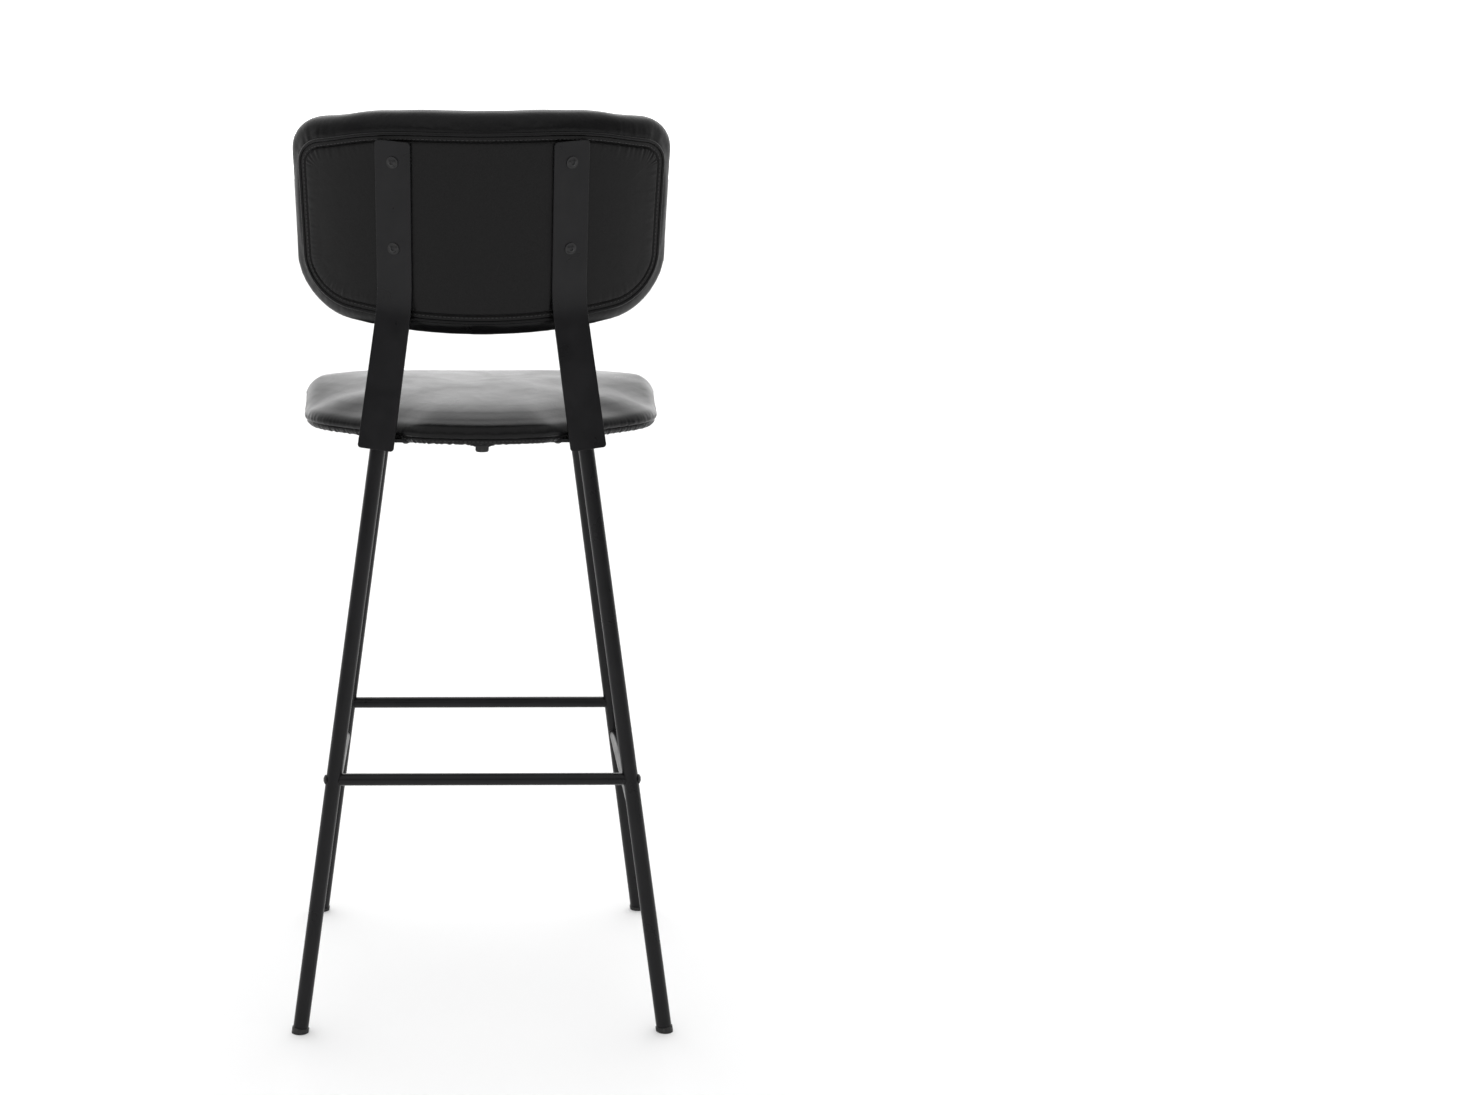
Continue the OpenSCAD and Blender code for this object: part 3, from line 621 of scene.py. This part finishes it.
def gather_seat(pad, outline):
    """Pulls the pad in at the seam and gathers small tucks above it, most of them at the corners."""
    points = get_points(pad.data)
    normals = get_normals(pad.data)
    length = len(outline) * np.linalg.norm(outline[1] - outline[0])
    where, inside = nearest_on(outline, points[:, :2])
    above = points[:, 2] - SEAT_SEAM_Z
    tucks = ripples(where, length, (0.017, 0.011, 0.007), seed=11)
    corner = 0.35 + 0.65 * np.clip(np.abs(points[:, 0]) / 0.19, 0, 1) ** 3
    near = np.where(above > -0.002, bell(above - 0.002, 0.006), 0)
    edge = np.clip(1 - inside / 0.03, 0, 1)
    push = 0.0006 * tucks * near * corner * edge
    push -= 0.0007 * bell(above, 0.0020) * edge
    set_points(pad.data, points + normals * push[:, None])


def seat_border():
    """The low border under the seat's seam: drawn under the board in small pleats.

    Each row of the profile is the inset, the rise and how much of the pleats shows.
    """
    count = 1500
    outline = round_discs(SEAT_DISCS, count)
    length = count * np.linalg.norm(outline[1] - outline[0])
    where = np.arange(count) * length / count
    pleats = ripples(where, length, (0.0125, 0.0082, 0.0055), seed=3)
    long_wave = ripples(where, length, (0.09, 0.05), seed=8)
    profile = [
        (0.0170, 0.0038, 0.0), (0.0158, 0.0022, 0.5), (0.0140, 0.0009, 0.9), (0.0118, 0.0003, 1.0),
        (0.0098, 0.0008, 1.0), (0.0082, 0.0018, 0.9), (0.0069, 0.0031, 0.7), (0.0059, 0.0046, 0.5),
        (0.0053, 0.0060, 0.4), (0.0052, 0.0070, 0.3), (0.0056, 0.0077, 0.2), (0.0070, 0.0080, 0.0),
        (0.0095, 0.0072, 0.0), (0.0105, 0.0055, 0.0), (0.0130, 0.0046, 0.0),
    ]
    normals = outward(outline)
    rings = []
    for inset, rise, depth in profile:
        bulge = 0.0011 * depth * pleats + 0.0003 * math.sin(math.pi * rise / 0.0080) * long_wave
        ring = outline - normals * (inset - bulge - 0.0004)[:, None]
        lift = 0.0009 * depth * np.roll(pleats, 4) * (1 if rise < 0.006 else 0.15)
        rings.append(np.column_stack([ring, SEAT_Z + rise + lift + 0.0005]))
    points, faces = loft(rings, closed_tube=True)
    return make_piece("seat_border", points, faces)


def seat_seam_stitches(border):
    """A row of stitches just under the seam, on the border's top edge."""
    outline = round_discs(SEAT_DISCS, 900)
    normals = outward(outline)
    surface = BVHTree.FromObject(border, bpy.context.evaluated_depsgraph_get())
    path = []
    for point, normal in zip(outline, normals):
        start = Vector((*(point + normal * 0.02), SEAT_STITCH_Z))
        hit = surface.ray_cast(start, Vector((*-normal, 0)))[0]
        path.append(np.array(hit) if hit else np.array([*point, SEAT_STITCH_Z]))
    lift = np.column_stack([normals, np.zeros(len(normals))])
    return stitches("seat_seam_stitches", np.array(path), lift, 0.0036, 0.0014, 0.00035)


def lining_staples():
    """Wire staples round the edge of the lining under the seat."""
    outline = inset_ring(round_discs(SEAT_DISCS, 600), 0.014)
    path = np.column_stack([outline, np.full(len(outline), LINING_Z - 0.0002)])
    lift = np.tile([0.0, 0.0, -1.0], (len(path), 1))
    return stitches("lining_staples", path, lift, 0.010, 0.022, 0.00045)


# ------------------------------------------------------------------ backrest

def bent(flat, h, depth):
    """Points of the bent sheet: distance along its middle, height up the slope, depth from its rear."""
    turn = flat / BACK_MID_R
    radius = BACK_R - depth
    side = radius * np.sin(turn)
    out = radius * np.cos(turn) - BACK_R
    return (BACK_FOOT + side[:, None] * np.array([1.0, 0, 0]) + out[:, None] * BACK_OUT
            + np.asarray(h)[:, None] * BACK_UP)


def straightened(points):
    """The reverse of bent: distance along the sheet, height up the slope, depth."""
    local = points - BACK_FOOT
    out = local @ BACK_OUT + BACK_R
    turn = np.arctan2(local[:, 0], out)
    return turn * BACK_MID_R, local @ BACK_UP, BACK_R - np.hypot(local[:, 0], out)


def back_outline(count, inset=0.0, top_r=0.050, bottom_r=0.074, over=0.0, under=0.0):
    """The backrest's outline on the straightened sheet, or one inside it with its own corner radii."""
    droop = 0.022
    bow = 0.005
    half_w = BACK_HALF_W - inset
    low = inset - under
    high = BACK_H - inset + over
    discs = []
    for s in (1, -1):
        discs.append((s * (half_w - top_r), high - droop - top_r, top_r))
        discs.append((s * (half_w - 0.003 - bottom_r), low + bottom_r + bow, bottom_r))
    for t in np.linspace(-1, 1, 33):
        discs.append((t * (half_w - top_r), high - droop * abs(t) ** 3.6, 0.0))
        discs.append((t * (half_w - bottom_r), low + bow * t * t, 0.0))
    outline = round_discs(discs, 2400)
    edge = BACK_T / 2
    across = np.abs(outline[:, 0])
    past = np.maximum(across - edge, 0)
    flat = np.minimum(across, edge) + BACK_MID_R * np.arcsin(past / BACK_MID_R)
    return resample(np.column_stack([np.sign(outline[:, 0]) * flat, outline[:, 1]]), count)


def pad_outline(count):
    """The outline of the stuffed body, which stands out a little further at the top and bottom."""
    return back_outline(count, over=0.0052, under=0.0040)


def panel_outline(count):
    """The seam round the rear panel."""
    return back_outline(count, inset=PANEL_INSET, top_r=0.034, bottom_r=0.058)


def back_pad():
    """The backrest's stuffed body: round edges, a gentle crown in front, flat behind the rear panel."""
    outline = pad_outline(360)
    panel = panel_outline(360)
    middle = np.array([0.0, BACK_H * 0.5])
    edge = BACK_T / 2
    rings = []

    def add(ring, depth):
        """Adds a ring of the bent sheet at one depth."""
        rings.append(bent(ring[:, 0], ring[:, 1], np.full(len(ring), depth)))

    for share in (0.05, 0.5):
        add(middle + (panel - middle) * share, PANEL_REST_DEPTH)
    add(inset_ring(panel, 0.003), PANEL_REST_DEPTH)
    for turn in np.linspace(0, math.pi, 15):
        add(inset_ring(outline, 0.0012 + (edge - 0.001) * (1 - math.sin(turn)) ** 1.3),
            edge - (edge - 0.0014) * math.cos(turn))
    for share, crown in ((0.86, 0.0006), (0.6, 0.0016), (0.3, 0.0022), (0.05, 0.0024)):
        add(middle + (inset_ring(outline, edge) - middle) * share, BACK_T - 0.0014 + crown)
    pad = make_piece("back_pad", *loft(rings))
    apply_modifier(pad, "REMESH", mode="VOXEL", voxel_size=0.0042)
    flat, h, depth = straightened(get_points(pad.data))
    inside = nearest_on(panel, np.column_stack([flat, h]))[1]
    swell(pad, (depth < 0.012) & (inside > -0.004), cap=0.005, tight=0.01, taut=14)
    apply_modifier(pad, "SMOOTH", factor=0.5, iterations=2)
    apply_modifier(pad, "SUBSURF", levels=1)
    gather_back(pad)
    return pad


def gather_back(pad):
    """Small tucks where the cover is drawn to the rear seam, deepest round the corners."""
    seam = panel_outline(700)
    points = get_points(pad.data)
    normals = get_normals(pad.data)
    flat, h, depth = straightened(points)
    length = len(seam) * np.linalg.norm(seam[1] - seam[0])
    where, inside = nearest_on(seam, np.column_stack([flat, h]))
    tucks = ripples(where, length, (0.019, 0.012, 0.0075), seed=21)
    corner = 0.22 + 0.78 * corner_share(flat, h)
    rear = np.clip(1 - depth / 0.022, 0, 1)
    near = bell(np.maximum(-inside, 0), 0.016) * rear
    push = 0.0011 * tucks * near * corner
    under_panel = np.clip(inside / 0.004, 0, 1) * rear
    set_points(pad.data, points + normals * (push * (1 - under_panel))[:, None])


def corner_share(flat, h):
    """1 round the four corners of the backrest and 0 along the middles of its edges."""
    reach = BACK_MID_R * math.asin((BACK_HALF_W - BACK_T / 2) / BACK_MID_R)
    side = np.clip((np.abs(flat) / reach - 0.62) / 0.3, 0, 1)
    end = np.clip((np.abs(h / BACK_H - 0.5) - 0.18) / 0.22, 0, 1)
    return side * end


def rear_panel():
    """The covered panel on the rear: a sewn strip round it, a groove, then the drawn field."""
    seam = panel_outline(1400)
    length = len(seam) * np.linalg.norm(seam[1] - seam[0])
    middle = np.array([0.0, BACK_H * 0.5])
    core = middle + (inset_ring(seam, 0.012) - middle) * np.array([0.80, 0.72])
    flat_rings = [inset_ring(seam, 0.0016)]
    flat_rings += [inset_ring(seam, inset) for inset in np.linspace(0.0014, 0.012, 34)]
    flat_rings += [flat_rings[-1] + (core - flat_rings[-1]) * t for t in np.linspace(0, 1, 30)[1:]]
    flat_rings += [middle + (core - middle) * t for t in np.linspace(1, 0.03, 22)[1:]]
    flat = np.concatenate(flat_rings)
    where, inside = nearest_on(seam, flat)
    corner = 0.25 + 0.75 * corner_share(flat[:, 0], flat[:, 1])
    depth = panel_depth(where, inside, length, corner, flat)
    depth[:len(seam)] = 0.0028
    points = bent(flat[:, 0], flat[:, 1], depth)
    rings = points.reshape(len(flat_rings), len(seam), 3)
    return make_piece("rear_panel", *loft(list(rings)))


def panel_depth(where, inside, length, corner, flat):
    """Depth of the panel's face at points that lie some way inside its seam."""
    tucks = ripples(where, length, (0.0165, 0.0105, 0.0068), seed=33)
    slow = ripples(where, length, (0.12, 0.07), seed=34)
    rim = 0.0016 * bell(inside - 0.0012, 0.0009)
    strip = -0.0003 - 0.0003 * corner * tucks * np.clip(inside / STRIP_W, 0, 1)
    past = inside - STRIP_W
    groove = 0.0016 * bell(past, 0.0011)
    field = 0.0006 - 0.0013 * (1 - np.exp(-np.maximum(past, 0) / 0.0025))
    drawn = -tucks * corner * 0.0016 * bell(past - 0.004, 0.009)
    settle = np.clip(past / 0.02, 0, 1) * (0.0006 + 0.0003 * slow * bell(past, 0.05))
    bulge = -rest_bulge(flat, past)
    return rim + groove + np.where(past > 0, field + drawn + settle + bulge, strip)


def rest_bulge(flat, past):
    """How far the panel stands out between the brackets, which press it down."""
    bar_x = 0.108
    under_bar = bell(np.abs(flat[:, 0]) - bar_x, 0.030)
    return 0.0013 * np.clip(past / 0.04, 0, 1) ** 0.5 * (1 - under_bar)


def back_piping():
    """The corded edge between the cover and the rear panel."""
    seam = panel_outline(900)
    path = bent(seam[:, 0], seam[:, 1], np.full(len(seam), PIPING_R * 0.2))
    return tube("back_piping_cord", path, PIPING_R, sides=14, wobble=0.02, seed=5)


def panel_stitches():
    """Stitches along the strip's inner edge."""
    seam = inset_ring(panel_outline(900), STRIP_W - 0.0022)
    path = bent(seam[:, 0], seam[:, 1], np.full(len(seam), -0.0003))
    lift = bent(seam[:, 0], seam[:, 1], np.full(len(seam), -0.01)) - path
    return stitches("panel_stitches", path, lift, 0.0036, 0.0016, 0.00035)


# ------------------------------------------------------------------ brackets and welds

def bracket(side):
    """One bent and slightly twisted flat bar with rounded edges, welded to its leg."""
    leg_up = unit(LEG_TOP - LEG_FOOT)
    bar_r = BACK_R + BAR_T / 2
    at_bend = LEG_FOOT + (LEG_TOP - LEG_FOOT) * BEND_Z / LEG_TOP[2]
    guess = math.asin(at_bend[0] / bar_r)
    bend = np.array([at_bend[0] + (LEG_R + BAR_T / 2) * math.sin((guess + BAR_FOOT_TURN) / 2),
                     at_bend[1] + LEG_R + BAR_T / 2, BEND_Z])
    back_turn = math.asin(bend[0] / bar_r)
    start = bend - leg_up * ((BEND_Z - LEG_TOP[2]) / leg_up[2] + BAR_LAP)
    lower_l = np.linalg.norm(bend - start)
    total = lower_l + BAR_UPPER_L
    across_top = np.array([math.cos(back_turn), 0, 0]) - BACK_OUT * math.sin(back_turn)

    def centre(s):
        """The bar's middle line at a distance from its foot."""
        if s <= lower_l - BEND_REACH:
            return start + leg_up * s
        if s >= lower_l + BEND_REACH:
            return bend + BACK_UP * (s - lower_l)
        t = (s - lower_l + BEND_REACH) / (2 * BEND_REACH)
        return ((bend - leg_up * BEND_REACH) * (1 - t) ** 2 + bend * 2 * t * (1 - t)
                + (bend + BACK_UP * BEND_REACH) * t * t)

    def section(s):
        """The bar's outline at a distance from its foot."""
        t = min(1, max(0, (s - lower_l + BEND_REACH) / (2 * BEND_REACH)))
        along = unit(leg_up + (BACK_UP - leg_up) * t)
        share = min(1, s / lower_l)
        turn = BAR_FOOT_TURN + (back_turn - BAR_FOOT_TURN) * share
        low = np.array([math.cos(turn), -math.sin(turn), 0])
        raw = low + (across_top - low) * share ** 2
        wide = unit(raw - along * (raw @ along))
        thick = np.cross(along, wide)
        end = min(s, total - s)
        cut = 0.0
        if end < BAR_CORNER_R:
            cut = BAR_CORNER_R - math.sqrt(max(0, BAR_CORNER_R ** 2 - (BAR_CORNER_R - end) ** 2))
        half_w = BAR_W / 2 - cut - BAR_EDGE_R
        half_t = BAR_T / 2 - BAR_EDGE_R
        ring = []
        for quarter in range(4):
            x_sign = 1 if quarter in (0, 3) else -1
            y_sign = 1 if quarter < 2 else -1
            for k in range(5):
                a = math.pi / 2 * (quarter + k / 4)
                ring.append(centre(s) + wide * (x_sign * half_w + BAR_EDGE_R * math.cos(a))
                            + thick * (y_sign * half_t + BAR_EDGE_R * math.sin(a)))
            if quarter % 2 == 0:
                for k in range(1, 12):
                    x = x_sign * half_w * (1 - 2 * k / 12)
                    ring.append(centre(s) + wide * x + thick * (y_sign * BAR_T / 2))
        return np.array(ring)

    ends = BAR_CORNER_R * (1 - np.cos(np.linspace(0, np.pi / 2, 7)))
    stations = np.concatenate([ends, np.linspace(BAR_CORNER_R, total - BAR_CORNER_R, 130)[1:-1],
                               (total - ends)[::-1]])
    rings = [section(s) * np.array([side, 1, 1]) for s in stations]
    points, faces = loft(rings)
    if side < 0:
        faces = [face[::-1] for face in faces]
    return make_piece(("left" if side > 0 else "right") + "_bracket_bar", points, faces)


def leg_line(side, end, z):
    """The point at one height on a leg's axis; side is 1 for left, end is 1 for rear."""
    share = z / LEG_TOP[2]
    return np.array([side, end, 1]) * (LEG_FOOT + (LEG_TOP - LEG_FOOT) * share)


def weld_bead(name, path, radius, closed=True, seed=1):
    """A welded fillet: a bead whose thickness steps with each puddle."""
    sides = 10
    path = resample(np.asarray(path), 110) if closed else np.asarray(path)
    steps = np.linalg.norm(np.diff(path, axis=0), axis=1)
    where = np.concatenate([[0], np.cumsum(steps)])
    puddle_l = 0.0022
    puddle = 1 + 0.16 * np.abs(np.sin(where / puddle_l * math.pi))
    piece = tube(name, path, radius, sides=sides, closed=closed, wobble=0.05, seed=seed)
    points = get_points(piece.data).reshape(len(path), sides, 3)
    points = path[:, None] + (points - path[:, None]) * puddle[:, None, None]
    set_points(piece.data, points.reshape(-1, 3))
    return piece


def around_joint(side, end):
    """The line where a side rail's surface meets its leg."""
    here = leg_line(side, end, SIDE_RAIL_Z)
    axis = unit(leg_line(side, -end, SIDE_RAIL_Z) - here)
    leg_axis = unit(leg_line(side, end, LEG_TOP[2]) - leg_line(side, end, 0))
    turn = np.linspace(0, 2 * np.pi, 64, endpoint=False)
    first = unit(np.cross(axis, UP))
    second = np.cross(axis, first)
    line = []
    for a in turn:
        offset = RAIL_R * (math.cos(a) * first + math.sin(a) * second)
        flat_offset = offset - leg_axis * (offset @ leg_axis)
        flat_axis = axis - leg_axis * (axis @ leg_axis)
        qa = flat_axis @ flat_axis
        qb = 2 * flat_axis @ flat_offset
        qc = flat_offset @ flat_offset - LEG_R ** 2
        t = (-qb + math.sqrt(max(0, qb * qb - 4 * qa * qc))) / (2 * qa)
        line.append(here + offset + axis * t)
    return line


def leg_top_ring(side, end):
    """The line where a leg's top meets its seat plate."""
    top = leg_line(side, end, LEG_TOP[2] - 0.0004)
    turn = np.linspace(0, 2 * np.pi, 64, endpoint=False)
    return [top + LEG_R * np.array([math.cos(a), math.sin(a), 0]) for a in turn]


def bracket_fillet(side, edge):
    """The upright line where the bar's front face meets one side of its leg, under the plate."""
    line = []
    bead_x = 0.0052
    bead_y = LEG_R - 0.0012
    for z in np.linspace(LEG_TOP[2] - 0.0088, LEG_TOP[2] - 0.001, 12):
        line.append(leg_line(side, 1, z) + np.array([edge * bead_x, bead_y, 0]))
    return line


def add_welds():
    """Every welded joint of the frame, each as its own bead."""
    for side in (1, -1):
        name = "left" if side > 0 else "right"
        for end in (1, -1):
            place = "rear" if end > 0 else "front"
            seed = 40 + side * 4 + end
            rail = weld_bead(f"{name}_{place}_rail_weld", around_joint(side, end), 0.00115, seed=seed)
            top = weld_bead(f"{name}_{place}_top_weld", leg_top_ring(side, end), 0.0013, seed=seed + 9)
            dress(rail, COAT, "frame_black")
            dress(top, COAT, "frame_black")
        for edge in (1, -1):
            place = "outer" if edge * side > 0 else "inner"
            bead = weld_bead(f"{name}_bracket_{place}_weld", bracket_fillet(side, edge), 0.0012,
                             closed=False, seed=60 + edge)
            dress(bead, COAT, "frame_black")


# ------------------------------------------------------------------ stage

def add_stage():
    """A wide plain pale floor."""
    floor = make_piece("floor", [(-40, -40, 0), (40, -40, 0), (40, 40, 0), (-40, 40, 0)], [(0, 1, 2, 3)],
                       smooth=False)
    material, tree, shader, place = new_material("pale_floor")
    cloud = noise(tree, place, 0.6, detail=3)
    tree.links.new(blend_colours(tree, cloud, (0.90, 0.90, 0.90), (0.94, 0.94, 0.94)),
                   shader.inputs["Base Color"])
    shader.inputs["Roughness"].default_value = 0.8
    floor.data.materials.append(material)


def add_light():
    """A bright white room in front of the stool and overhead, dimmer behind it."""
    world = bpy.data.worlds.new("studio")
    bpy.context.scene.world = world
    world.use_nodes = True
    tree = world.node_tree
    place = tree.nodes.new("ShaderNodeTexCoord").outputs["Generated"]
    split = tree.nodes.new("ShaderNodeSeparateXYZ")
    tree.links.new(place, split.inputs["Vector"])
    ahead = remap(tree, split.outputs["Y"], -0.85, 0.35, 1.0, 0.0)
    squared = tree.nodes.new("ShaderNodeMath")
    squared.operation = "POWER"
    squared.inputs[1].default_value = 2.0
    tree.links.new(ahead, squared.inputs[0])
    level = remap(tree, squared.outputs["Value"], 0.0, 1.0, 0.25, 2.2)
    shade = tree.nodes.new("ShaderNodeCombineColor")
    for channel in ("Red", "Green", "Blue"):
        tree.links.new(level, shade.inputs[channel])
    tree.links.new(shade.outputs["Color"], tree.nodes["Background"].inputs["Color"])
    lamp = bpy.data.lights.new("overhead", "SUN")
    lamp.angle = math.radians(110)
    lamp.energy = 1.6
    holder = bpy.data.objects.new("overhead", lamp)
    holder.rotation_euler = (math.radians(-12), math.radians(5), 0)
    bpy.context.scene.collection.objects.link(holder)


def add_camera():
    """The camera stands behind the stool, a little above the seat, and sees it left of centre."""
    camera = bpy.data.cameras.new("camera")
    camera.sensor_width = 36
    camera.lens = 54.27
    camera.shift_x = 0.1695
    camera.clip_end = 100
    holder = bpy.data.objects.new("camera", camera)
    holder.location = (0.0223, 2.774, 1.106)
    holder.rotation_euler = (math.radians(90 - 10.98), 0, math.radians(179.5))
    bpy.context.scene.collection.objects.link(holder)
    bpy.context.scene.camera = holder


# ------------------------------------------------------------------ assembly

add_camera()
add_stage()
add_light()
bpy.context.scene.view_settings.view_transform = "Standard"
dress_nodes()

seat = seat_pad()
dress(seat, LEATHER, "black_leather", "seat_cover", "seat_foam")
border = seat_border()
dress(border, LEATHER, "black_leather")
dress(seat_seam_stitches(border), THREAD, "black_leather")
dress(lining_staples(), STAPLE_STEEL, "screw_zinc")

back = back_pad()
dress(back, LEATHER, "black_leather", "back_cover", "back_foam")
panel = rear_panel()
dress(panel, PANEL_LEATHER, "black_leather", "back_rear_panel")
dress(back_piping(), LEATHER, "black_leather", "back_piping")
dress(panel_stitches(), THREAD, "black_leather")

dress(bracket(1), COAT, "frame_black", "left_back_bracket")
dress(bracket(-1), COAT, "frame_black", "right_back_bracket")
add_welds()
